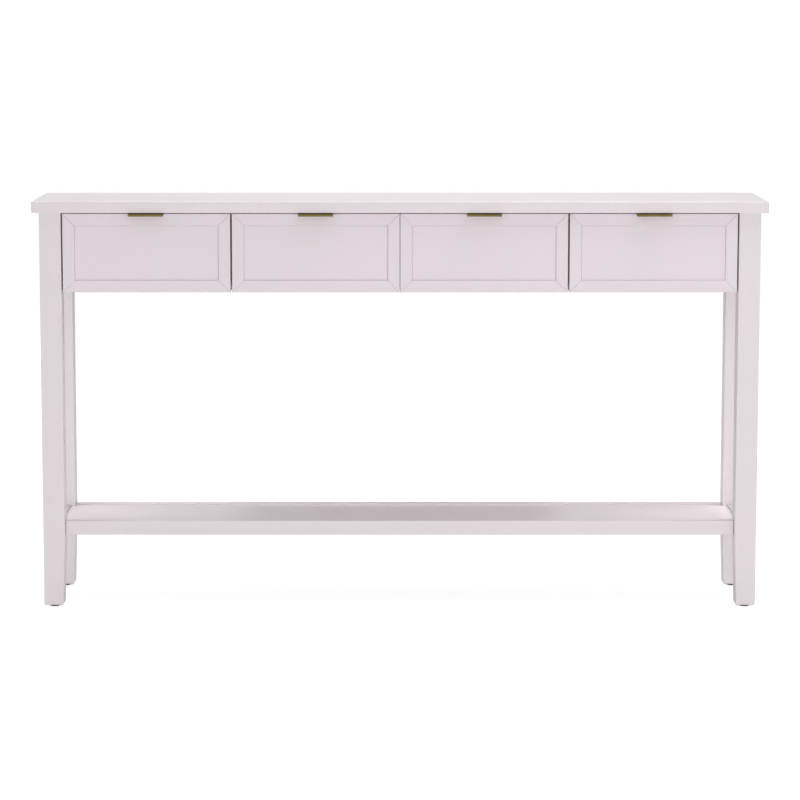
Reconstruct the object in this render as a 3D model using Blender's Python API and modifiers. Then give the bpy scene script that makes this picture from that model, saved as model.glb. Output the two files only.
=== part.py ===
"""Console table: four drawers in a row under a shallow top, square legs and a framed low shelf.

Metres. X runs along the table, -Y is the front, Z is up, and the floor is at Z = 0.
Every drawer is parented to an empty of its own and slides out along -Y.
"""

import bmesh
import bpy

GAP = 0.0003  # between pieces that touch

# Whole table
TOP_WIDTH = 1.524
TOP_DEPTH = 0.262
TOP_THICK = 0.024
HEIGHT = 0.857
REAR_Y = 0.134
OVERHANG = 0.014
TOP_ROUND = 0.003

# Legs and glides
LEG = 0.045
LEG_ROUND = 0.002
FOOT_ROUND = 0.005
TAPER = 0.0045
TAPER_TOP = 0.150
GLIDE_RADIUS = 0.0105
GLIDE_HEIGHT = 0.004
GLIDE_CHAMFER = 0.0012
GLIDE_SIDES = 20

# Carcass
CARCASS_BOTTOM = 0.667
APRON = 0.018
APRON_INSET = 0.003
BACK_THICK = 0.015
BACK_INSET = 0.010
RAIL_DEPTH = 0.045
RAIL_BELOW_THICK = 0.018
RAIL_ABOVE_THICK = 0.015
RAIL_BELOW_BOTTOM = 0.669
BOARD_ROUND = 0.001

# Drawer fronts: a mitred frame round a recessed panel
FRONT_WIDTH = 0.348
FRONT_THICK = 0.020
FRONT_BOTTOM = 0.667
FRONT_TOP = 0.8305
SIDE_GAP = 0.0035
CENTRE_GAP = 0.001
FRAME_WIDTH = 0.025
FRAME_CHAMFER = 0.001
INNER_CHAMFER = 0.0015
PANEL_RECESS = 0.0025
FRAME_LIP = 0.0117
PANEL_TONGUE = 0.007

# Drawer boxes and their slides
BAY_HALF = 0.168
BOX_LENGTH = 0.190
BOX_BOTTOM = 0.690
BOX_TOP = 0.808
BOX_WALL = 0.012
BASE_THICK = 0.006
BASE_LIFT = 0.010
GROOVE = 0.006
SLIDE_THICK = 0.0127
SLIDE_HEIGHT = 0.035
SLIDE_SHEET = 0.0015
SLIDE_PLAY = 0.0005
SLIDE_LENGTH = 0.186
SLIDE_SETBACK = 0.001

# Pulls: bent brass strip over the top edge of each drawer front
PULL_WIDTH = 0.072
PULL_SHEET = 0.0016
PULL_REACH = 0.020
PULL_LIP = 0.0062
PULL_BACK_LEG = 0.0137
PULL_BEND = 0.0008

# Shelf
SHELF_BOTTOM = 0.152
SHELF_RAIL_HEIGHT = 0.030
SHELF_RAIL_THICK = 0.020
SHELF_INSET = 0.015
SHELF_PANEL_THICK = 0.012
SHELF_PANEL_RECESS = 0.003

# Derived
TOP_UNDERSIDE = HEIGHT - TOP_THICK
LEG_TOP = TOP_UNDERSIDE - GAP
LEG_FRONT_Y = REAR_Y - TOP_DEPTH + OVERHANG
LEG_OUTER_X = TOP_WIDTH / 2 - OVERHANG
LEG_INNER_X = LEG_OUTER_X - LEG
FRONT_LEG_BACK_Y = LEG_FRONT_Y + LEG
REAR_LEG_FRONT_Y = REAR_Y - LEG
FRONT_BACK_Y = LEG_FRONT_Y + FRONT_THICK
CARCASS_FRONT_Y = FRONT_BACK_Y + 0.004
BACK_FRONT_Y = REAR_Y - BACK_INSET - BACK_THICK
BOX_HALF = BAY_HALF - SLIDE_THICK - 2 * GAP
NEAR_X = (CENTRE_GAP + FRONT_WIDTH) / 2
FAR_X = NEAR_X + FRONT_WIDTH + SIDE_GAP
DRAWER_X = (-FAR_X, -NEAR_X, NEAR_X, FAR_X)
SIDES = (("left", -1), ("right", 1))


def material(name, colour, roughness, metallic=0.0):
    made = bpy.data.materials.new(name)
    made.use_nodes = True
    shader = made.node_tree.nodes["Principled BSDF"]
    shader.inputs["Base Color"].default_value = (*colour, 1.0)
    shader.inputs["Roughness"].default_value = roughness
    shader.inputs["Metallic"].default_value = metallic
    return made


def add_object(name, mesh_maker, surface, parent=None):
    """A new object from a bmesh, its faces turned outwards and its sides flat."""
    bmesh.ops.recalc_face_normals(mesh_maker, faces=mesh_maker.faces)
    mesh = bpy.data.meshes.new(name)
    mesh_maker.to_mesh(mesh)
    mesh_maker.free()
    mesh.materials.append(surface)
    made = bpy.data.objects.new(name, mesh)
    table.objects.link(made)
    made.parent = parent
    return made


def round_edges(made, width, segments=2):
    bevel = made.modifiers.new("edge_rounding", "BEVEL")
    bevel.width = width
    bevel.segments = segments
    bevel.limit_method = "ANGLE"


def board(name, x_span, y_span, z_span, surface, rounding=BOARD_ROUND, segments=1):
    """A box between pairs of coordinates, with its origin at its centre."""
    spans = (x_span, y_span, z_span)
    mesh_maker = bmesh.new()
    bmesh.ops.create_cube(mesh_maker, size=1.0)
    for vert in mesh_maker.verts:
        for axis, (low, high) in enumerate(spans):
            vert.co[axis] *= high - low
    made = add_object(name, mesh_maker, surface)
    made.location = [(low + high) / 2 for low, high in spans]
    if rounding:
        round_edges(made, rounding, segments)
    return made


def loft(name, loops, surface, parent=None, closed=False):
    """Skins a run of vertex loops, then either joins the last to the first or caps both ends."""
    mesh_maker = bmesh.new()
    rings = [[mesh_maker.verts.new(point) for point in loop] for loop in loops]
    pairs = list(zip(rings, rings[1:]))
    if closed:
        pairs.append((rings[-1], rings[0]))
    else:
        mesh_maker.faces.new(rings[0])
        mesh_maker.faces.new(rings[-1])
    for lower, upper in pairs:
        for i in range(len(lower)):
            j = (i + 1) % len(lower)
            mesh_maker.faces.new((lower[i], lower[j], upper[j], upper[i]))
    return add_object(name, mesh_maker, surface, parent)


def upright_ring(half_x, half_z, y):
    """Corners of a rectangle that faces the front."""
    return [(-half_x, y, -half_z), (half_x, y, -half_z), (half_x, y, half_z), (-half_x, y, half_z)]


def level_ring(half_x, half_y, z):
    """Corners of a rectangle that lies flat."""
    return [(-half_x, -half_y, z), (half_x, -half_y, z), (half_x, half_y, z), (-half_x, half_y, z)]


def leg(name, side, inner_y, outer_y):
    """A square leg whose two inner faces draw in slightly towards the foot."""
    into_y = 1 if outer_y > inner_y else -1
    outer_x = side * LEG_OUTER_X
    inner_x = side * LEG_INNER_X
    foot_x = inner_x + side * TAPER
    foot_y = inner_y + into_y * TAPER
    loops = []
    for z, x, y in (
        (GLIDE_HEIGHT, foot_x, foot_y),
        (TAPER_TOP, inner_x, inner_y),
        (LEG_TOP, inner_x, inner_y),
    ):
        loops.append([(outer_x, outer_y, z), (x, outer_y, z), (x, y, z), (outer_x, y, z)])
    made = loft(name, loops, painted_wood)
    weights = made.data.attributes.new("bevel_weight_edge", "FLOAT", "EDGE")
    for edge in made.data.edges:
        heights = [made.data.vertices[i].co.z for i in edge.vertices]
        if max(heights) < GLIDE_HEIGHT + GAP:
            weights.data[edge.index].value = 1.0
        elif max(heights) - min(heights) > GAP:
            weights.data[edge.index].value = LEG_ROUND / FOOT_ROUND
    bevel = made.modifiers.new("edge_rounding", "BEVEL")
    bevel.width = FOOT_ROUND
    bevel.segments = 2
    bevel.limit_method = "WEIGHT"
    return made


def foot_glide(name, x, y):
    bpy.ops.mesh.primitive_cylinder_add(
        vertices=GLIDE_SIDES,
        radius=GLIDE_RADIUS,
        depth=GLIDE_HEIGHT - GAP,
        location=(x, y, (GLIDE_HEIGHT - GAP) / 2),
    )
    made = bpy.context.object
    made.name = name
    for holder in list(made.users_collection):
        holder.objects.unlink(made)
    table.objects.link(made)
    made.data.materials.append(glide_plastic)
    round_edges(made, GLIDE_CHAMFER, 1)


def drawer_frame(name, parent, half_x, half_z):
    """The mitred frame, rebated at the back to take the panel."""
    inner_x = half_x - FRAME_WIDTH
    inner_z = half_z - FRAME_WIDTH
    profile = (
        (-FRAME_CHAMFER, 0.0, False),
        (0.0, FRAME_CHAMFER, False),
        (0.0, FRONT_THICK, False),
        (PANEL_TONGUE, FRONT_THICK, True),
        (PANEL_TONGUE, FRAME_LIP, True),
        (0.0, FRAME_LIP, True),
        (0.0, INNER_CHAMFER, True),
        (INNER_CHAMFER, 0.0, True),
    )
    loops = []
    for offset, depth, from_inside in profile:
        base_x = inner_x if from_inside else half_x
        base_z = inner_z if from_inside else half_z
        loops.append(upright_ring(base_x + offset, base_z + offset, depth))
    return loft(name, loops, painted_wood, parent, closed=True)


def drawer_panel(name, parent, half_x, half_z):
    """A flat field with a tongue round its back that sits in the frame's rebate."""
    field_x = half_x - FRAME_WIDTH - GAP
    field_z = half_z - FRAME_WIDTH - GAP
    loops = [
        upright_ring(field_x, field_z, PANEL_RECESS),
        upright_ring(field_x, field_z, FRAME_LIP + GAP),
        upright_ring(field_x + PANEL_TONGUE, field_z + PANEL_TONGUE, FRAME_LIP + GAP),
        upright_ring(field_x + PANEL_TONGUE, field_z + PANEL_TONGUE, FRONT_THICK),
    ]
    return loft(name, loops, painted_wood, parent)


def drawer_box(name, parent):
    """Four walls, grooved inside near the bottom for the base."""
    low = BOX_BOTTOM - drawer_mid_z
    high = BOX_TOP - drawer_mid_z
    groove_low = low + BASE_LIFT - GAP
    groove_high = low + BASE_LIFT + BASE_THICK + GAP
    half_y = BOX_LENGTH / 2
    profile = (
        (0.0, low),
        (0.0, high),
        (BOX_WALL, high),
        (BOX_WALL, groove_high),
        (BOX_WALL - GROOVE, groove_high),
        (BOX_WALL - GROOVE, groove_low),
        (BOX_WALL, groove_low),
        (BOX_WALL, low),
    )
    loops = [level_ring(BOX_HALF - inset, half_y - inset, z) for inset, z in profile]
    made = loft(name, loops, drawer_wood, parent, closed=True)
    made.location.y = box_mid_y
    return made


def drawer_base(name, parent):
    reach = BOX_WALL - GROOVE + GAP
    low = BOX_BOTTOM + BASE_LIFT - drawer_mid_z
    loops = [
        level_ring(BOX_HALF - reach, BOX_LENGTH / 2 - reach, z) for z in (low, low + BASE_THICK)
    ]
    made = loft(name, loops, drawer_wood, parent)
    made.location.y = box_mid_y
    return made


def drawer_pull(name, parent, half_z):
    """Bent strip: a lip in front, a plate over the top edge and a leg down the back."""
    under = half_z + GAP
    top = under + PULL_SHEET
    tip = -PULL_REACH
    back = FRONT_THICK + GAP + PULL_SHEET
    profile = (
        (tip, top - PULL_LIP),
        (tip, top - PULL_BEND),
        (tip + PULL_BEND, top),
        (back - PULL_BEND, top),
        (back, top - PULL_BEND),
        (back, top - PULL_BACK_LEG),
        (back - PULL_SHEET, top - PULL_BACK_LEG),
        (back - PULL_SHEET, under),
        (tip + PULL_SHEET, under),
        (tip + PULL_SHEET, top - PULL_LIP),
    )
    loops = [[(x, y, z) for y, z in profile] for x in (-PULL_WIDTH / 2, PULL_WIDTH / 2)]
    return loft(name, loops, brass, parent)


def channel(name, web_x, open_x, half_height, y_span, z, parent=None):
    """A sheet-metal C section running front to back, open towards open_x."""
    sheet = SLIDE_SHEET if open_x > web_x else -SLIDE_SHEET
    profile = (
        (web_x, -half_height),
        (open_x, -half_height),
        (open_x, SLIDE_SHEET - half_height),
        (web_x + sheet, SLIDE_SHEET - half_height),
        (web_x + sheet, half_height - SLIDE_SHEET),
        (open_x, half_height - SLIDE_SHEET),
        (open_x, half_height),
        (web_x, half_height),
    )
    loops = [[(x, y, z + height) for x, height in profile] for y in y_span]
    return loft(name, loops, zinc_steel, parent)


def shelf_panel():
    """The shelf's flat panel, notched at its corners round the legs."""
    wide_x = LEG_OUTER_X - SHELF_INSET - SHELF_RAIL_THICK - GAP
    narrow_x = LEG_INNER_X - GAP
    front_y = LEG_FRONT_Y + SHELF_INSET + SHELF_RAIL_THICK + GAP
    rear_y = REAR_Y - SHELF_INSET - SHELF_RAIL_THICK - GAP
    notch_front = FRONT_LEG_BACK_Y + GAP
    notch_rear = REAR_LEG_FRONT_Y - GAP
    outline = (
        (-narrow_x, front_y),
        (narrow_x, front_y),
        (narrow_x, notch_front),
        (wide_x, notch_front),
        (wide_x, notch_rear),
        (narrow_x, notch_rear),
        (narrow_x, rear_y),
        (-narrow_x, rear_y),
        (-narrow_x, notch_rear),
        (-wide_x, notch_rear),
        (-wide_x, notch_front),
        (-narrow_x, notch_front),
    )
    high = SHELF_BOTTOM + SHELF_RAIL_HEIGHT - SHELF_PANEL_RECESS
    loops = [[(x, y, z) for x, y in outline] for z in (high - SHELF_PANEL_THICK, high)]
    return loft("shelf_panel", loops, painted_wood)


for old in list(bpy.data.objects):
    bpy.data.objects.remove(old)

table = bpy.data.collections.new("console_table")
bpy.context.scene.collection.children.link(table)

painted_wood = material("painted_wood", (0.80, 0.735, 0.765), 0.36)
drawer_wood = material("drawer_wood", (0.62, 0.47, 0.30), 0.60)
brass = material("brass", (0.45, 0.36, 0.17), 0.30, 1.0)
zinc_steel = material("zinc_steel", (0.58, 0.59, 0.60), 0.35, 1.0)
glide_plastic = material("glide_plastic", (0.06, 0.06, 0.065), 0.55)

drawer_mid_z = (FRONT_BOTTOM + FRONT_TOP) / 2
box_mid_y = FRONT_THICK + GAP + BOX_LENGTH / 2

board(
    "tabletop",
    (-TOP_WIDTH / 2, TOP_WIDTH / 2),
    (REAR_Y - TOP_DEPTH, REAR_Y),
    (TOP_UNDERSIDE, HEIGHT),
    painted_wood,
    TOP_ROUND,
    3,
)

# Legs, glides, side aprons and the shelf's end rails
for side_name, side in SIDES:
    leg(f"leg_front_{side_name}", side, FRONT_LEG_BACK_Y, LEG_FRONT_Y)
    leg(f"leg_rear_{side_name}", side, REAR_LEG_FRONT_Y, REAR_Y)
    glide_x = side * (LEG_OUTER_X - LEG / 2 + TAPER / 2)
    foot_glide(f"foot_glide_front_{side_name}", glide_x, LEG_FRONT_Y + LEG / 2 - TAPER / 2)
    foot_glide(f"foot_glide_rear_{side_name}", glide_x, REAR_Y - LEG / 2 + TAPER / 2)
    between_legs = (FRONT_LEG_BACK_Y + GAP, REAR_LEG_FRONT_Y - GAP)
    apron_x = side * (LEG_OUTER_X - APRON_INSET)
    board(
        f"side_apron_{side_name}",
        sorted((apron_x, apron_x - side * APRON)),
        between_legs,
        (CARCASS_BOTTOM, LEG_TOP),
        painted_wood,
    )
    spacer_x = side * (LEG_INNER_X - GAP)
    board(
        f"slide_spacer_{side_name}",
        sorted((spacer_x, side * (FAR_X + BAY_HALF))),
        (CARCASS_FRONT_Y, BACK_FRONT_Y - GAP),
        (RAIL_BELOW_BOTTOM + RAIL_BELOW_THICK + GAP, LEG_TOP - RAIL_ABOVE_THICK - GAP),
        drawer_wood,
        0.0,
    )
    rail_x = side * (LEG_OUTER_X - SHELF_INSET)
    board(
        f"shelf_rail_{side_name}",
        sorted((rail_x, rail_x - side * SHELF_RAIL_THICK)),
        between_legs,
        (SHELF_BOTTOM, SHELF_BOTTOM + SHELF_RAIL_HEIGHT),
        painted_wood,
    )

# Boards that run the table's length
long_x = (-LEG_INNER_X + GAP, LEG_INNER_X - GAP)
board(
    "back_panel",
    long_x,
    (BACK_FRONT_Y, BACK_FRONT_Y + BACK_THICK),
    (CARCASS_BOTTOM, LEG_TOP),
    painted_wood,
)
board(
    "rail_below_drawers",
    long_x,
    (CARCASS_FRONT_Y, CARCASS_FRONT_Y + RAIL_DEPTH),
    (RAIL_BELOW_BOTTOM, RAIL_BELOW_BOTTOM + RAIL_BELOW_THICK),
    painted_wood,
    0.0,
)
board(
    "rail_above_drawers",
    long_x,
    (CARCASS_FRONT_Y, CARCASS_FRONT_Y + RAIL_DEPTH),
    (LEG_TOP - RAIL_ABOVE_THICK, LEG_TOP),
    painted_wood,
    0.0,
)
for rail_name, rail_y in (
    ("front", LEG_FRONT_Y + SHELF_INSET),
    ("rear", REAR_Y - SHELF_INSET - SHELF_RAIL_THICK),
):
    board(
        f"shelf_rail_{rail_name}",
        long_x,
        (rail_y, rail_y + SHELF_RAIL_THICK),
        (SHELF_BOTTOM, SHELF_BOTTOM + SHELF_RAIL_HEIGHT),
        painted_wood,
    )
shelf_panel()

# Dividers between neighbouring drawers
for number, (left_x, right_x) in enumerate(zip(DRAWER_X, DRAWER_X[1:]), 1):
    board(
        f"divider_{number}",
        (left_x + BAY_HALF, right_x - BAY_HALF),
        (CARCASS_FRONT_Y, BACK_FRONT_Y - GAP),
        (RAIL_BELOW_BOTTOM + RAIL_BELOW_THICK + GAP, LEG_TOP - RAIL_ABOVE_THICK - GAP),
        drawer_wood,
        0.0,
    )

# Drawers, each on a pair of metal slides
half_front_x = FRONT_WIDTH / 2
half_front_z = (FRONT_TOP - FRONT_BOTTOM) / 2
slide_z = (BOX_BOTTOM + BOX_TOP) / 2
outer_half = SLIDE_HEIGHT / 2
inner_half = outer_half - SLIDE_SHEET - SLIDE_PLAY
for number, drawer_x in enumerate(DRAWER_X, 1):
    carrier = bpy.data.objects.new(f"drawer_{number}", None)
    table.objects.link(carrier)
    carrier.location = (drawer_x, LEG_FRONT_Y, drawer_mid_z)
    drawer_frame(f"drawer_{number}_frame", carrier, half_front_x, half_front_z)
    drawer_panel(f"drawer_{number}_panel", carrier, half_front_x, half_front_z)
    drawer_box(f"drawer_{number}_box", carrier)
    drawer_base(f"drawer_{number}_base", carrier)
    drawer_pull(f"drawer_{number}_pull", carrier, half_front_z)
    inner_start = FRONT_THICK + GAP + SLIDE_SETBACK
    outer_start = CARCASS_FRONT_Y + SLIDE_SETBACK
    for side_name, side in SIDES:
        box_face = BOX_HALF + GAP
        wall_face = BAY_HALF - GAP
        channel(
            f"drawer_{number}_slide_{side_name}",
            side * box_face,
            side * (wall_face - SLIDE_SHEET - SLIDE_PLAY),
            inner_half,
            (inner_start, inner_start + SLIDE_LENGTH),
            slide_z - drawer_mid_z,
            carrier,
        )
        channel(
            f"slide_track_{number}_{side_name}",
            drawer_x + side * wall_face,
            drawer_x + side * (box_face + SLIDE_SHEET + SLIDE_PLAY),
            outer_half,
            (outer_start, outer_start + SLIDE_LENGTH),
            slide_z,
        )
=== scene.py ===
"""Looks for the console table: painted joinery, mitred drawer fronts, edge pulls and finger-jointed boxes.

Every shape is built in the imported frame's own coordinates, in metres, from the CAD nodes' boxes.
"""

import math

import bmesh
import bpy
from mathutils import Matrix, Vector


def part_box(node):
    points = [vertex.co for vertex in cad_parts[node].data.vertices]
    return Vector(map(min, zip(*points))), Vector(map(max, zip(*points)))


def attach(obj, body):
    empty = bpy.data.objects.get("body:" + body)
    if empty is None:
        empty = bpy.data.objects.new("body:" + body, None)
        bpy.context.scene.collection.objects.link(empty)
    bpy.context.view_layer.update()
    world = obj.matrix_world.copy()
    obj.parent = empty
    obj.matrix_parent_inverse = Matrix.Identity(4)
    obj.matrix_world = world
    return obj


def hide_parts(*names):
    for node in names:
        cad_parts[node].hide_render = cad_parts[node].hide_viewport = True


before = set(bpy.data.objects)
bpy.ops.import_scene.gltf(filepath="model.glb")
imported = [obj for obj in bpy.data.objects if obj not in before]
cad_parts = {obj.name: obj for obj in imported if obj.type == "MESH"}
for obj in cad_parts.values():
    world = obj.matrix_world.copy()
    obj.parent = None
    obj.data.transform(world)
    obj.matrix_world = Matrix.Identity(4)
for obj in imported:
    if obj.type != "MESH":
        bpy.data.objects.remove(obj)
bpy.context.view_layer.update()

MM = 0.001
SIDES = (("left", -1), ("right", 1))
DRAWERS = (1, 2, 3, 4)
DIVIDERS = (1, 2, 3)

# Colours, linear
PAINT = ((0.792, 0.741, 0.766), (0.804, 0.738, 0.766))
PAINT_FRONT = ((0.794, 0.727, 0.765), (0.812, 0.728, 0.771))
BIRCH_LIGHT = (0.66, 0.50, 0.32)
BIRCH_DARK = (0.50, 0.34, 0.19)
BRASS = (0.36, 0.278, 0.11)
BRASS_DULL = (0.31, 0.238, 0.093)
ZINC = (0.56, 0.57, 0.59)
ZINC_DARK = (0.40, 0.41, 0.43)
GLIDE = (0.045, 0.045, 0.05)


# ---------------------------------------------------------------- materials


def start_material(name):
    """A new material, its node tree, its shader and the coordinates that patterns are drawn on."""
    made = bpy.data.materials.new(name)
    made.use_nodes = True
    tree = made.node_tree
    coords = tree.nodes.new("ShaderNodeTexCoord").outputs["Object"]
    return made, tree, tree.nodes["Principled BSDF"], coords


def stretched(tree, coords, scales):
    """Coordinates scaled by axis, so that a noise drawn on them has a direction."""
    mapping = tree.nodes.new("ShaderNodeMapping")
    mapping.inputs["Scale"].default_value = scales
    tree.links.new(coords, mapping.inputs["Vector"])
    return mapping.outputs["Vector"]


def noise(tree, coords, scale, detail=2.0, distortion=0.0):
    """A noise's strength, 0 to 1. The scale is in features per metre."""
    made = tree.nodes.new("ShaderNodeTexNoise")
    made.inputs["Scale"].default_value = scale
    made.inputs["Detail"].default_value = detail
    made.inputs["Distortion"].default_value = distortion
    tree.links.new(coords, made.inputs["Vector"])
    return made.outputs["Fac"]


def ramp(tree, factor, stops):
    """stops is a list of (position, linear colour)."""
    made = tree.nodes.new("ShaderNodeValToRGB")
    elements = made.color_ramp.elements
    while len(elements) < len(stops):
        elements.new(0.5)
    for element, (position, colour) in zip(elements, stops):
        element.position = position
        element.color = (*colour, 1.0)
    tree.links.new(factor, made.inputs["Fac"])
    return made.outputs["Color"]


def spread(tree, factor, low, high):
    """Maps a noise's usual range onto low to high."""
    made = tree.nodes.new("ShaderNodeMapRange")
    made.inputs["From Min"].default_value = 0.3
    made.inputs["From Max"].default_value = 0.7
    made.inputs["To Min"].default_value = low
    made.inputs["To Max"].default_value = high
    tree.links.new(factor, made.inputs["Value"])
    return made.outputs["Result"]


def bump(tree, height, strength, distance, under=None):
    made = tree.nodes.new("ShaderNodeBump")
    made.inputs["Strength"].default_value = strength
    made.inputs["Distance"].default_value = distance
    tree.links.new(height, made.inputs["Height"])
    if under is not None:
        tree.links.new(under, made.inputs["Normal"])
    return made.outputs["Normal"]


def along(axis, lengthwise, crosswise):
    """Noise scales for a grain that runs along one axis."""
    return [lengthwise if i == axis else crosswise for i in range(3)]


def painted_wood(name, grain_axis, tints):
    """Satin off-white lacquer: a drifting tint, faint brush lines along the grain and orange peel."""
    made, tree, shader, coords = start_material(name)
    drift = noise(tree, coords, scale=3.1)
    colour = ramp(tree, drift, [(0.38, tints[0]), (0.62, tints[1])])
    tree.links.new(colour, shader.inputs["Base Color"])
    sheen = noise(tree, coords, scale=17.0, detail=3.0)
    tree.links.new(spread(tree, sheen, 0.31, 0.40), shader.inputs["Roughness"])
    lines = noise(tree, stretched(tree, coords, along(grain_axis, 0.035, 1.0)), scale=420.0, detail=3.0)
    peel = noise(tree, coords, scale=950.0)
    lined = bump(tree, lines, strength=0.10, distance=0.12 * MM)
    peeled = bump(tree, peel, strength=0.07, distance=0.10 * MM, under=lined)
    tree.links.new(peeled, shader.inputs["Normal"])
    return made


def bare_wood(name, grain_axis):
    """Clear-sealed birch: soft streaks along the grain and fine pores."""
    made, tree, shader, coords = start_material(name)
    waved = stretched(tree, coords, along(grain_axis, 0.10, 1.0))
    streaks = noise(tree, waved, scale=75.0, detail=5.0, distortion=0.8)
    colour = ramp(tree, streaks, [(0.34, BIRCH_DARK), (0.56, BIRCH_LIGHT)])
    tree.links.new(colour, shader.inputs["Base Color"])
    pores = noise(tree, stretched(tree, coords, along(grain_axis, 0.03, 1.0)), scale=1500.0)
    tree.links.new(spread(tree, pores, 0.48, 0.62), shader.inputs["Roughness"])
    raised = bump(tree, streaks, strength=0.12, distance=0.15 * MM)
    pored = bump(tree, pores, strength=0.15, distance=0.08 * MM, under=raised)
    tree.links.new(pored, shader.inputs["Normal"])
    return made


def brushed_metal(name, brush_axis, bright, dull, smooth, rough):
    """Metal with fine lines along one axis and slightly duller patches."""
    made, tree, shader, coords = start_material(name)
    patches = noise(tree, coords, scale=55.0, detail=4.0)
    colour = ramp(tree, patches, [(0.40, bright), (0.68, dull)])
    tree.links.new(colour, shader.inputs["Base Color"])
    shader.inputs["Metallic"].default_value = 1.0
    lines = noise(tree, stretched(tree, coords, along(brush_axis, 0.02, 1.0)), scale=3200.0)
    tree.links.new(spread(tree, lines, smooth, rough), shader.inputs["Roughness"])
    tree.links.new(bump(tree, lines, strength=0.10, distance=0.03 * MM), shader.inputs["Normal"])
    return made


def moulded_plastic(name, colour):
    """Matte plastic with a fine moulded grain."""
    made, tree, shader, coords = start_material(name)
    grain = noise(tree, coords, scale=1800.0)
    lighter = tuple(c * 1.5 for c in colour)
    tree.links.new(ramp(tree, grain, [(0.35, colour), (0.70, lighter)]), shader.inputs["Base Color"])
    tree.links.new(spread(tree, grain, 0.50, 0.65), shader.inputs["Roughness"])
    tree.links.new(bump(tree, grain, strength=0.25, distance=0.06 * MM), shader.inputs["Normal"])
    return made


X, Y, Z = 0, 1, 2
paint = {axis: painted_wood(f"paint_grain_{'xyz'[axis]}", axis, PAINT) for axis in (X, Y, Z)}
front_paint = {axis: painted_wood(f"front_paint_grain_{'xyz'[axis]}", axis, PAINT_FRONT) for axis in (X, Z)}
birch = {axis: bare_wood(f"birch_grain_{'xyz'[axis]}", axis) for axis in (X, Y, Z)}
brass = brushed_metal("brushed_brass", X, BRASS, BRASS_DULL, 0.24, 0.34)
zinc = brushed_metal("zinc_plate", Y, ZINC, ZINC_DARK, 0.30, 0.42)
glide_plastic = moulded_plastic("glide_plastic", GLIDE)


# ---------------------------------------------------------------- shapes


def add_piece(name, maker, surface, body, nodes=()):
    """A shown piece from a bmesh, in place, that rides on a body and may stand for CAD nodes."""
    bmesh.ops.recalc_face_normals(maker, faces=maker.faces)
    mesh = bpy.data.meshes.new(name)
    maker.to_mesh(mesh)
    maker.free()
    mesh.materials.append(surface)
    mesh.shade_smooth()
    mesh.set_sharp_from_angle(angle=math.radians(50))
    made = bpy.data.objects.new(name, mesh)
    bpy.context.scene.collection.objects.link(made)
    weighted = made.modifiers.new("flat_faces", "WEIGHTED_NORMAL")
    weighted.keep_sharp = True
    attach(made, body)
    if nodes:
        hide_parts(*nodes)
    return made


def resurface(node, surface):
    """Gives a CAD node that stays in view a finished material."""
    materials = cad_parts[node].data.materials
    materials.clear()
    materials.append(surface)


def loft(maker, loops):
    """Skins a run of loops of equal length and caps both ends."""
    rings = [[maker.verts.new(point) for point in loop] for loop in loops]
    maker.faces.new(rings[0])
    maker.faces.new(rings[-1])
    for lower, upper in zip(rings, rings[1:]):
        for i in range(len(lower)):
            j = (i + 1) % len(lower)
            maker.faces.new((lower[i], lower[j], upper[j], upper[i]))


def block(maker, low, high):
    """A box between two corners. Returns its vertices."""
    verts = bmesh.ops.create_cube(maker, size=1.0)["verts"]
    size = [b - a for a, b in zip(low, high)]
    middle = [(a + b) / 2 for a, b in zip(low, high)]
    for vert in verts:
        vert.co = Vector(m + c * s for m, c, s in zip(middle, vert.co, size))
    return verts


def rounded_board(maker, low, high, radius, segments):
    """A box with all its edges rounded."""
    verts = block(maker, low, high)
    edges = list({edge for vert in verts for edge in vert.link_edges})
    bmesh.ops.bevel(maker, geom=edges, offset=radius, segments=segments, profile=0.5, affect="EDGES")


def quarter_round(steps):
    """Points on a quarter circle of radius 1 that rounds a corner at 0, 0, from (0, 1) to (1, 0)."""
    angles = [math.radians(90 * i / steps) for i in range(steps + 1)]
    return [(1 - math.cos(angle), 1 - math.sin(angle)) for angle in angles]


def slab(maker, low, high, corner, lower, upper):
    """A flat board with rounded corners, and edges rounded by different amounts below and above."""
    arc = quarter_round(5)
    levels = [(low.z + lower * a, lower * b) for a, b in arc]
    levels += [(high.z - upper * b, upper * a) for a, b in arc]
    loops = []
    for z, inset in levels:
        outline = rounded_rectangle((low.x + inset, low.y + inset), (high.x - inset, high.y - inset), corner)
        loops.append([(x, y, z) for x, y in outline])
    loft(maker, loops)


def rounded_rectangle(low, high, radius, steps=4):
    """Points round a rectangle with arcs at its corners, counter-clockwise."""
    points = []
    for corner_x, corner_y, start in (
        (high[0] - radius, high[1] - radius, 0),
        (low[0] + radius, high[1] - radius, 90),
        (low[0] + radius, low[1] + radius, 180),
        (high[0] - radius, low[1] + radius, 270),
    ):
        for i in range(steps + 1):
            angle = math.radians(start + 90 * i / steps)
            points.append((corner_x + radius * math.cos(angle), corner_y + radius * math.sin(angle)))
    return points


def filleted(points, radius, steps=4):
    """An open polyline with its inner corners turned into arcs."""
    out = [Vector(points[0])]
    for before, corner, after in zip(points, points[1:], points[2:]):
        corner = Vector(corner)
        back = (Vector(before) - corner).normalized()
        ahead = (Vector(after) - corner).normalized()
        half = math.acos(back.dot(ahead)) / 2
        centre = corner + (back + ahead).normalized() * (radius / math.sin(half))
        first = corner + back * (radius / math.tan(half)) - centre
        sweep = math.pi - 2 * half
        if first.x * ahead.y - first.y * ahead.x < 0:
            sweep = -sweep
        start = math.atan2(first.y, first.x)
        for i in range(steps + 1):
            angle = start + sweep * i / steps
            out.append(centre + Vector((math.cos(angle), math.sin(angle))) * radius)
    out.append(Vector(points[-1]))
    return out


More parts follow.
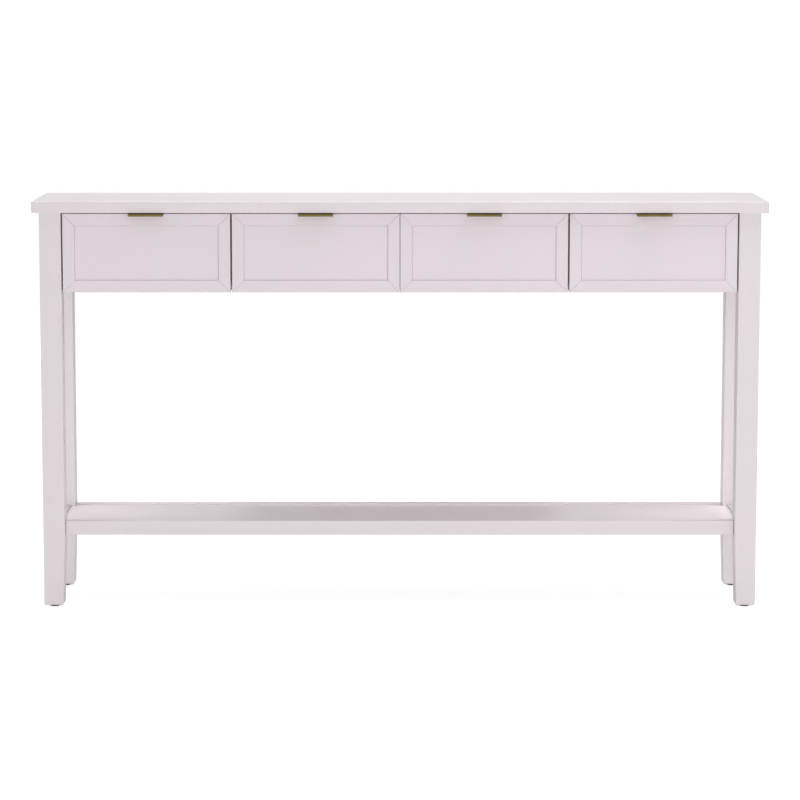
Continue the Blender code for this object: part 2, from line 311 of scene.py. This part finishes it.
def strip_outline(points, radius, thickness):
    """The closed outline of a bent sheet whose middle follows the points."""
    path = filleted(points, radius)
    left, right = [], []
    for i, point in enumerate(path):
        ahead = path[min(i + 1, len(path) - 1)] - path[max(i - 1, 0)]
        normal = Vector((-ahead.y, ahead.x)).normalized() * (thickness / 2)
        left.append(point + normal)
        right.append(point - normal)
    return [tuple(p) for p in left + right[::-1]]


def extruded(maker, outline, place, start, end, ease):
    """A prism of an outline between two depths, its end edges eased. place(u, v, depth) gives a point."""
    count = len(outline)
    turn = winding(outline)
    inset = []
    for i, point in enumerate(outline):
        before = Vector(outline[i - 1])
        after = Vector(outline[(i + 1) % count])
        ahead = (after - before).normalized()
        normal = Vector((ahead.y, -ahead.x))
        inset.append(Vector(point) - normal * ease * turn)
    levels = ((inset, start), (outline, start + ease), (outline, end - ease), (inset, end))
    loft(maker, [[place(u, v, depth) for u, v in shape] for shape, depth in levels])


def winding(outline):
    """1 for a counter-clockwise outline, -1 for a clockwise one."""
    area = 0.0
    for (ax, ay), (bx, by) in zip(outline, outline[1:] + outline[:1]):
        area += ax * by - bx * ay
    return 1 if area > 0 else -1


def turned(maker, profile, centre, axis=Z, sides=32):
    """A closed solid of revolution. The profile is (radius, distance along the axis) from end to end."""
    loops = []
    for radius, distance in profile:
        loop = []
        for i in range(sides):
            angle = 2 * math.pi * i / sides
            point = [radius * math.cos(angle), radius * math.sin(angle)]
            point.insert(axis, distance)
            loop.append(Vector(centre) + Vector(point))
        loops.append(loop)
    loft(maker, loops)


def screw_head(maker, centre, axis, outward, radius=3.2 * MM, height=1.0 * MM):
    """A domed pan head standing out along an axis, with a round driver recess sunk in it."""
    rim = 0.35 * MM
    profile = (
        (radius * 0.98, 0.0),
        (radius, rim * outward),
        (radius * 0.93, height * 0.72 * outward),
        (radius * 0.72, height * 0.93 * outward),
        (radius * 0.42, height * outward),
        (radius * 0.34, height * 0.98 * outward),
        (radius * 0.24, height * 0.25 * outward),
    )
    turned(maker, profile, centre, axis, 16)


# ---------------------------------------------------------------- carcass

TOP_ROUND = 3.0 * MM
TOP_LOWER_ROUND = 0.8 * MM
TOP_CORNER = 3.5 * MM
LEG_ROUND = 2.2 * MM
FOOT_ROUND = 4.5 * MM
FOOT_TAPER = 4.5 * MM
TAPER_TOP = 0.150
TAPER_BLEND = 0.030
EDGE = 1.2 * MM
SHELF_EDGE = 1.6 * MM
INNER_EDGE = 0.8 * MM
BACK_SCREW_SHARES = (0.22, 0.78)

top_low, top_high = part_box("tabletop")
maker = bmesh.new()
slab(maker, top_low, top_high, TOP_CORNER, TOP_LOWER_ROUND, TOP_ROUND)
add_piece("table_top_board", maker, paint[X], "table", ["tabletop"])


def leg_piece(end, side_name):
    """Square leg: straight outer faces, inner faces drawn in towards a rounded foot."""
    node = f"leg_{end}_{side_name}"
    low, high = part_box(node)
    inner_x = 1 if side_name == "left" else -1
    inner_y = 1 if end == "front" else -1
    levels = [(low.z + FOOT_ROUND * a, FOOT_ROUND * b) for a, b in quarter_round(4)]
    levels += [(TAPER_TOP - TAPER_BLEND + 2 * TAPER_BLEND * i / 6, 0.0) for i in range(7)]
    levels.append((high.z, 0.0))
    softness = TAPER_BLEND / (TAPER_TOP - low.z)
    loops = []
    for z, inset in levels:
        # How far down the taper this level is, eased in over the blend's length either side of its top
        drop = (TAPER_TOP - z) / (TAPER_TOP - low.z)
        if drop < -softness:
            share = 0.0
        elif drop > softness:
            share = drop
        else:
            share = (drop + softness) ** 2 / (4 * softness)
        shift = FOOT_TAPER * share
        x_low = low.x + inset + (shift if inner_x < 0 else 0.0)
        x_high = high.x - inset - (shift if inner_x > 0 else 0.0)
        y_low = low.y + inset + (shift if inner_y < 0 else 0.0)
        y_high = high.y - inset - (shift if inner_y > 0 else 0.0)
        loop = rounded_rectangle((x_low, y_low), (x_high, y_high), LEG_ROUND)
        loops.append([(x, y, z) for x, y in loop])
    leg_maker = bmesh.new()
    loft(leg_maker, loops)
    add_piece(f"{node}_turned_square", leg_maker, paint[Z], "table", [node])


def glide_piece(end, side_name):
    """Round glide: a flat base with rounded edges, and a narrower neck that meets the leg."""
    node = f"foot_glide_{end}_{side_name}"
    low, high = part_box(node)
    radius = (high.x - low.x) / 2
    height = high.z - low.z
    centre = ((low.x + high.x) / 2, (low.y + high.y) / 2, 0.0)
    profile = (
        (radius * 0.90, low.z),
        (radius * 0.97, low.z + 0.08 * height),
        (radius, low.z + 0.22 * height),
        (radius, low.z + 0.50 * height),
        (radius * 0.97, low.z + 0.64 * height),
        (radius * 0.90, low.z + 0.72 * height),
        (radius * 0.80, low.z + 0.76 * height),
        (radius * 0.80, high.z),
    )
    glide_maker = bmesh.new()
    turned(glide_maker, profile, centre)
    add_piece(f"{node}_pad", glide_maker, glide_plastic, "table", [node])


def board_piece(node, surface, radius=EDGE, segments=3):
    """A plain board of the table, with all its edges rounded."""
    low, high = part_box(node)
    board_maker = bmesh.new()
    rounded_board(board_maker, low, high, radius, segments)
    add_piece(f"{node}_board", board_maker, surface, "table", [node])


for end in ("front", "rear"):
    for side_name, _ in SIDES:
        leg_piece(end, side_name)
        glide_piece(end, side_name)

board_piece("back_panel", paint[X])
board_piece("side_apron_left", paint[Y])
board_piece("side_apron_right", paint[Y])
for end, axis in (("front", X), ("rear", X), ("left", Y), ("right", Y)):
    board_piece(f"shelf_rail_{end}", paint[axis], SHELF_EDGE, 4)
board_piece("rail_below_drawers", paint[X], INNER_EDGE, 2)
board_piece("rail_above_drawers", paint[X], INNER_EDGE, 2)
for number in DIVIDERS:
    board_piece(f"divider_{number}", birch[Y], INNER_EDGE, 2)
for side_name, _ in SIDES:
    board_piece(f"slide_spacer_{side_name}", birch[Y], INNER_EDGE, 2)

# Back panel's screws, two into the end of each divider
_, back_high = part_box("back_panel")
maker = bmesh.new()
for number in DIVIDERS:
    low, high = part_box(f"divider_{number}")
    for share in BACK_SCREW_SHARES:
        z = low.z + (high.z - low.z) * share
        screw_head(maker, ((low.x + high.x) / 2, back_high.y, z), Y, 1)
add_piece("back_panel_screws", maker, zinc, "table")

resurface("shelf_panel", paint[X])


# ---------------------------------------------------------------- drawers

FRAME_WIDTH = 25.0 * MM
FRAME_LIP = 11.7 * MM
TONGUE = 7.0 * MM
FRONT_EDGE = 1.2 * MM
BEADS = {"top": 1.3 * MM, "bottom": 0.6 * MM, "left": 2.2 * MM, "right": 2.6 * MM}
MITRE_GAP = 0.06 * MM
MITRE_EASE = 0.5 * MM
PANEL_PLAY = 0.03 * MM
PANEL_EASE = 0.06 * MM
PANEL_TONGUE_THICK = 8.0 * MM
WALL = 12.0 * MM
FINGERS = 7
FINGER_GAP = 0.08 * MM
WALL_EASE = 0.25 * MM
GROOVE_DEPTH = 6.3 * MM
GROOVE_PLAY = 0.3 * MM
PULL_SHEET = 1.6 * MM
PULL_LIP = 6.2 * MM
PULL_BEND = 1.7 * MM
PULL_EASE = 0.3 * MM
PULL_SCREW_OFFSET = 24.0 * MM
PULL_SCREW_HEIGHT = 5.0 * MM
CHANNEL_SHEET = 1.5 * MM
CHANNEL_BEND = 1.3 * MM
CHANNEL_LIP = 3.6 * MM
CHANNEL_EASE = 0.2 * MM
CHANNEL_SCREW_SHARES = (0.12, 0.50, 0.88)


def frame_profile(thickness, bead):
    """The drawer frame's section as (distance in from the outer edge, depth from the face)."""
    arc = quarter_round(4)
    profile = [(FRONT_EDGE * a, FRONT_EDGE * b) for a, b in arc]
    profile += [(FRAME_WIDTH - bead * b, bead * a) for a, b in arc]
    profile += [
        (FRAME_WIDTH, FRAME_LIP),
        (FRAME_WIDTH - TONGUE, FRAME_LIP),
        (FRAME_WIDTH - TONGUE, thickness),
        (0.0, thickness),
    ]
    return profile


def frame_member(number, member, low, high):
    """One mitred member of a drawer front's frame, its ends eased so that the joint shows as a hairline."""
    body = f"drawer_{number}"
    horizontal = member in ("top", "bottom")
    outward = 1 if member in ("top", "right") else -1
    centre_x = (low.x + high.x) / 2
    centre_z = (low.z + high.z) / 2
    half_x = (high.x - low.x) / 2
    half_z = (high.z - low.z) / 2
    profile = frame_profile(high.y - low.y, BEADS[member])
    half_length = half_x if horizontal else half_z
    half_across = half_z if horizontal else half_x
    loops = []
    for end, inset, ease in (
        (-1, MITRE_GAP, MITRE_EASE),
        (-1, MITRE_GAP + MITRE_EASE, 0.0),
        (1, MITRE_GAP + MITRE_EASE, 0.0),
        (1, MITRE_GAP, MITRE_EASE),
    ):
        loop = []
        for inward, depth in profile:
            length_at = end * (half_length - inward - inset)
            across = outward * (half_across - inward)
            y = low.y + max(depth, ease)
            if horizontal:
                loop.append((centre_x + length_at, y, centre_z + across))
            else:
                loop.append((centre_x + across, y, centre_z + length_at))
        loops.append(loop)
    member_maker = bmesh.new()
    loft(member_maker, loops)
    kind = "rail" if horizontal else "stile"
    surface = front_paint[X] if horizontal else front_paint[Z]
    add_piece(f"{body}_{member}_{kind}", member_maker, surface, body, [f"{body}_frame"])


def panel_piece(number):
    """The flat panel set back in the frame, with a tongue round its back behind the frame's lip."""
    body = f"drawer_{number}"
    low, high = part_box(f"{body}_panel")
    field = TONGUE + PANEL_PLAY
    face = low.y
    tongue_face = high.y - PANEL_TONGUE_THICK
    loops = []
    for inset, y in (
        (field + 2 * PANEL_EASE, face),
        (field + PANEL_EASE / 2, face + PANEL_EASE / 2),
        (field, face + 2 * PANEL_EASE),
        (field, tongue_face),
        (0.0, tongue_face),
        (0.0, high.y),
    ):
        left, right = low.x + inset, high.x - inset
        bottom, top = low.z + inset, high.z - inset
        loops.append([(left, y, bottom), (right, y, bottom), (right, y, top), (left, y, top)])
    panel_maker = bmesh.new()
    loft(panel_maker, loops)
    add_piece(f"{body}_flat_panel", panel_maker, front_paint[X], body, [f"{body}_panel"])


def comb(length, height, first_full):
    """A board's outline with fingers at both ends, as (along, up) from its lower near corner."""
    step = height / FINGERS
    reach = WALL + FINGER_GAP
    near, far = [], []
    for i in range(FINGERS):
        full = (i % 2 == 0) == first_full
        start = 0.0 if full else reach
        stop = length if full else length - reach
        gap = FINGER_GAP / 2 if full else -FINGER_GAP / 2
        bottom = i * step + (gap if i else 0.0)
        top = (i + 1) * step - (gap if i < FINGERS - 1 else 0.0)
        near += [(start, bottom), (start, top)]
        far += [(stop, bottom), (stop, top)]
    return near[::-1] + far


def box_wall(number, wall, low, high, groove):
    """One finger-jointed wall of a drawer box, grooved inside for the base."""
    body = f"drawer_{number}"
    length_axis, depth_axis = (X, Y) if wall in ("front", "back") else (Y, X)
    near_side = wall in ("front", "left")
    start = low[depth_axis] if near_side else high[depth_axis] - WALL
    inner_face = start + WALL if near_side else start

    def place(u, v, depth):
        point = [0.0, 0.0, low.z + v]
        point[length_axis] = low[length_axis] + u
        point[depth_axis] = start + depth
        return point

    length = high[length_axis] - low[length_axis]
    outline = comb(length, high.z - low.z, length_axis == Y)
    wall_maker = bmesh.new()
    extruded(wall_maker, outline, place, 0.0, WALL, WALL_EASE)
    surface = birch[length_axis]
    made = add_piece(f"{body}_box_{wall}", wall_maker, surface, body, [f"{body}_box"])
    cut_low = [0.0, 0.0, groove[0]]
    cut_high = [0.0, 0.0, groove[1]]
    cut_low[length_axis] = low[length_axis] + WALL - GROOVE_DEPTH
    cut_high[length_axis] = high[length_axis] - WALL + GROOVE_DEPTH
    cut_low[depth_axis] = inner_face - GROOVE_DEPTH
    cut_high[depth_axis] = inner_face + GROOVE_DEPTH
    cut_groove(made, cut_low, cut_high)


def cut_groove(piece, low, high):
    """Cuts the box between two corners out of a piece's mesh."""
    cutter_maker = bmesh.new()
    block(cutter_maker, low, high)
    mesh = bpy.data.meshes.new("groove_cutter")
    cutter_maker.to_mesh(mesh)
    cutter_maker.free()
    cutter = bpy.data.objects.new("groove_cutter", mesh)
    bpy.context.scene.collection.objects.link(cutter)
    cut = piece.modifiers.new("groove", "BOOLEAN")
    cut.object = cutter
    cut.operation = "DIFFERENCE"
    cut.solver = "EXACT"
    weighted = piece.modifiers["flat_faces"]
    weighted.show_viewport = False
    graph = bpy.context.evaluated_depsgraph_get()
    whole = piece.data
    piece.data = bpy.data.meshes.new_from_object(piece.evaluated_get(graph))
    weighted.show_viewport = True
    piece.modifiers.remove(cut)
    bpy.data.meshes.remove(whole)
    bpy.data.objects.remove(cutter)
    bpy.data.meshes.remove(mesh)


def pull_piece(number):
    """Brass edge pull: a lip, a plate over the drawer's top edge and a screwed leg behind it."""
    body = f"drawer_{number}"
    node = f"{body}_pull"
    low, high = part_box(node)
    half = PULL_SHEET / 2
    path = [
        (low.y + half, high.z - PULL_LIP),
        (low.y + half, high.z - half),
        (high.y - half, high.z - half),
        (high.y - half, low.z),
    ]
    outline = strip_outline(path, PULL_BEND - half, PULL_SHEET)
    pull_maker = bmesh.new()
    extruded(pull_maker, outline, lambda u, v, depth: (depth, u, v), low.x, high.x, PULL_EASE)
    add_piece(f"{body}_edge_pull", pull_maker, brass, body, [node])
    screw_maker = bmesh.new()
    for side in (-1, 1):
        x = (low.x + high.x) / 2 + side * PULL_SCREW_OFFSET
        centre = (x, high.y, low.z + PULL_SCREW_HEIGHT)
        screw_head(screw_maker, centre, Y, 1, radius=2.6 * MM, height=0.8 * MM)
    add_piece(f"{body}_pull_screws", screw_maker, brass, body)


def channel_piece(node, body, opens):
    """A slide's bent steel channel and the screws in its web. opens is 1 or -1, the way it faces in x."""
    low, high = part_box(node)
    half = CHANNEL_SHEET / 2
    web = low.x + half if opens > 0 else high.x - half
    lip = high.x - half if opens > 0 else low.x + half
    path = [
        (lip, low.z + half),
        (web, low.z + half),
        (web, high.z - half),
        (lip, high.z - half),
    ]
    if body == "table":
        path = [(lip, low.z + CHANNEL_LIP), *path, (lip, high.z - CHANNEL_LIP)]
    outline = strip_outline(path, CHANNEL_BEND, CHANNEL_SHEET)
    channel_maker = bmesh.new()
    extruded(channel_maker, outline, lambda u, v, depth: (u, depth, v), low.y, high.y, CHANNEL_EASE)
    add_piece(f"{node}_channel", channel_maker, zinc, body, [node])
    screw_maker = bmesh.new()
    for share in CHANNEL_SCREW_SHARES:
        y = low.y + (high.y - low.y) * share
        centre = (web + opens * half, y, (low.z + high.z) / 2)
        screw_head(screw_maker, centre, X, opens, radius=2.8 * MM, height=0.9 * MM)
    add_piece(f"{node}_screws", screw_maker, zinc, body)


for number in DRAWERS:
    front_low, front_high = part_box(f"drawer_{number}_frame")
    for member in BEADS:
        frame_member(number, member, front_low, front_high)
    panel_piece(number)
    box_low, box_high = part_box(f"drawer_{number}_box")
    base_low, base_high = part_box(f"drawer_{number}_base")
    groove = (base_low.z - GROOVE_PLAY, base_high.z + GROOVE_PLAY)
    for wall in ("front", "back", "left", "right"):
        box_wall(number, wall, box_low, box_high, groove)
    resurface(f"drawer_{number}_base", birch[X])
    pull_piece(number)
    for side_name, side in SIDES:
        channel_piece(f"drawer_{number}_slide_{side_name}", f"drawer_{number}", side)
        channel_piece(f"slide_track_{number}_{side_name}", "table", -side)


# ---------------------------------------------------------------- stage, light and camera

FLOOR_RADIUS = 60.0
FLOOR_COLOUR = (0.93, 0.93, 0.93, 1.0)
FLOOR_SEEN_COLOUR = (0.40, 0.40, 0.40, 1.0)
FLOOR_SEEN_GLOW = 0.80
WORLD_STRENGTH = 0.50
BACKDROP_STRENGTH = 1.1
WHITE = (1.0, 1.0, 1.0, 1.0)
FLAG_LOW = (-0.37, 0.70, 0.01)
FLAG_HIGH = (0.37, 0.71, 0.85)
FLAG_COLOUR = (0.02, 0.02, 0.02, 1.0)
TABLE_MIDDLE = (0.0, 0.0, 0.45)
TOP_MIDDLE = (0.0, 0.0, top_high.z)
SHELF_LIGHT_POWERS = {"left": 4.2, "right": 5.6}
CAMERA_PLACE = (-0.04725, -5.73619, 1.27126)
CAMERA_TILT_DOWN = 0.11723
CAMERA_LENS = 122.5
CAMERA_SHIFT_X = 0.0285
CAMERA_SHIFT_Y = -0.10


def area_light(name, place, target, width, height, power, mirrored=False, lit_pieces=()):
    """A softbox. Unless mirrored, gloss doesn't show it. With lit_pieces, it lights those pieces alone."""
    data = bpy.data.lights.new(name, "AREA")
    data.shape = "RECTANGLE"
    data.size = width
    data.size_y = height
    data.energy = power
    made = bpy.data.objects.new(name, data)
    made.location = place
    made.rotation_euler = (Vector(target) - Vector(place)).to_track_quat("-Z", "Y").to_euler()
    made.visible_camera = False
    made.visible_glossy = mirrored
    bpy.context.scene.collection.objects.link(made)
    if lit_pieces:
        receivers = bpy.data.collections.new(f"{name}_lights")
        for piece in lit_pieces:
            receivers.objects.link(piece)
        made.light_linking.receiver_collection = receivers


def stage_object(name, maker, surface):
    """A thing that serves the picture and isn't part of the table."""
    mesh = bpy.data.meshes.new(name)
    maker.to_mesh(mesh)
    maker.free()
    mesh.materials.append(surface)
    made = bpy.data.objects.new(name, mesh)
    bpy.context.scene.collection.objects.link(made)
    return made


def stage_floor():
    """A wide pale floor. Seen directly it is lit almost to white, with only a trace of shadow."""
    surface, tree, shader, _ = start_material("studio_floor")
    tree.nodes.remove(shader)
    light_path = tree.nodes.new("ShaderNodeLightPath")
    pale = tree.nodes.new("ShaderNodeBsdfDiffuse")
    pale.inputs["Color"].default_value = FLOOR_COLOUR
    seen = tree.nodes.new("ShaderNodeBsdfDiffuse")
    seen.inputs["Color"].default_value = FLOOR_SEEN_COLOUR
    glow = tree.nodes.new("ShaderNodeEmission")
    glow.inputs["Strength"].default_value = FLOOR_SEEN_GLOW
    both = tree.nodes.new("ShaderNodeAddShader")
    mix = tree.nodes.new("ShaderNodeMixShader")
    tree.links.new(seen.outputs[0], both.inputs[0])
    tree.links.new(glow.outputs[0], both.inputs[1])
    tree.links.new(light_path.outputs["Is Camera Ray"], mix.inputs["Fac"])
    tree.links.new(pale.outputs[0], mix.inputs[1])
    tree.links.new(both.outputs[0], mix.inputs[2])
    tree.links.new(mix.outputs[0], tree.nodes["Material Output"].inputs["Surface"])
    floor_maker = bmesh.new()
    bmesh.ops.create_circle(floor_maker, cap_ends=True, radius=FLOOR_RADIUS, segments=96)
    stage_object("studio_floor", floor_maker, surface)


def studio_world():
    """Even light from all round, with a white backdrop where the camera sees past the floor."""
    world = bpy.data.worlds.new("studio")
    bpy.context.scene.world = world
    world.use_nodes = True
    tree = world.node_tree
    ambient = tree.nodes["Background"]
    ambient.inputs["Color"].default_value = WHITE
    ambient.inputs["Strength"].default_value = WORLD_STRENGTH
    backdrop = tree.nodes.new("ShaderNodeBackground")
    backdrop.inputs["Color"].default_value = WHITE
    backdrop.inputs["Strength"].default_value = BACKDROP_STRENGTH
    light_path = tree.nodes.new("ShaderNodeLightPath")
    mix = tree.nodes.new("ShaderNodeMixShader")
    tree.links.new(light_path.outputs["Is Camera Ray"], mix.inputs["Fac"])
    tree.links.new(ambient.outputs[0], mix.inputs[1])
    tree.links.new(backdrop.outputs[0], mix.inputs[2])
    tree.links.new(mix.outputs[0], tree.nodes["World Output"].inputs["Surface"])


def dark_card():
    """A dark card behind the open bay, out of the camera's sight, so the shelf's middle meets less white."""
    surface, _, shader, _ = start_material("studio_flag")
    shader.inputs["Base Color"].default_value = FLAG_COLOUR
    shader.inputs["Roughness"].default_value = 0.9
    card_maker = bmesh.new()
    rounded_board(card_maker, FLAG_LOW, FLAG_HIGH, 2 * MM, 1)
    card = stage_object("studio_flag", card_maker, surface)
    card.visible_camera = False
    card.visible_shadow = False
    card.visible_transmission = False


def softboxes():
    """One light over the top, one from each side, and small ones kept to the shelf and the rear legs."""
    shelf_names = ("shelf_panel", "shelf_rail_front_board", "shelf_rail_rear_board")
    shelf_pieces = [bpy.data.objects[name] for name in shelf_names]
    rear_legs = [bpy.data.objects[f"leg_rear_{side_name}_turned_square"] for side_name, _ in SIDES]
    area_light(
        "softbox_top", (0.15, 0.17, 2.8), TOP_MIDDLE, width=4.4, height=0.55, power=46.0, mirrored=True
    )
    area_light("softbox_front", (0.25, -4.5, 0.6), TABLE_MIDDLE, width=6.0, height=1.1, power=63.0)
    area_light("softbox_rear", (0.0, 4.5, 1.1), TABLE_MIDDLE, width=4.0, height=1.4, power=16.0)
    for side_name, side in SIDES:
        end_place = (side * 2.6, 0.1, 0.9)
        area_light(f"softbox_{side_name}", end_place, TABLE_MIDDLE, width=1.2, height=1.4, power=2.5)
        area_light(
            f"softbox_shelf_{side_name}",
            (side * 1.28, 0.02, 0.42),
            (side * 0.45, 0.02, 0.18),
            width=0.4,
            height=0.35,
            power=SHELF_LIGHT_POWERS[side_name],
            lit_pieces=shelf_pieces,
        )
    area_light(
        "softbox_rear_legs",
        (0.0, -3.0, 0.5),
        TABLE_MIDDLE,
        width=1.0,
        height=0.6,
        power=16.0,
        lit_pieces=rear_legs,
    )


def main_camera():
    """A long lens in front of the table and a little above it."""
    data = bpy.data.cameras.new("camera")
    data.sensor_width = 36.0
    data.lens = CAMERA_LENS
    data.shift_x = CAMERA_SHIFT_X
    data.shift_y = CAMERA_SHIFT_Y
    data.clip_end = 200.0
    camera = bpy.data.objects.new("camera", data)
    camera.location = CAMERA_PLACE
    camera.rotation_euler = (math.pi / 2 - CAMERA_TILT_DOWN, 0.0, 0.0)
    bpy.context.scene.collection.objects.link(camera)
    bpy.context.scene.camera = camera


stage_floor()
studio_world()
dark_card()
softboxes()
main_camera()

bpy.context.scene.view_settings.view_transform = "Standard"
bpy.context.scene.view_settings.look = "None"
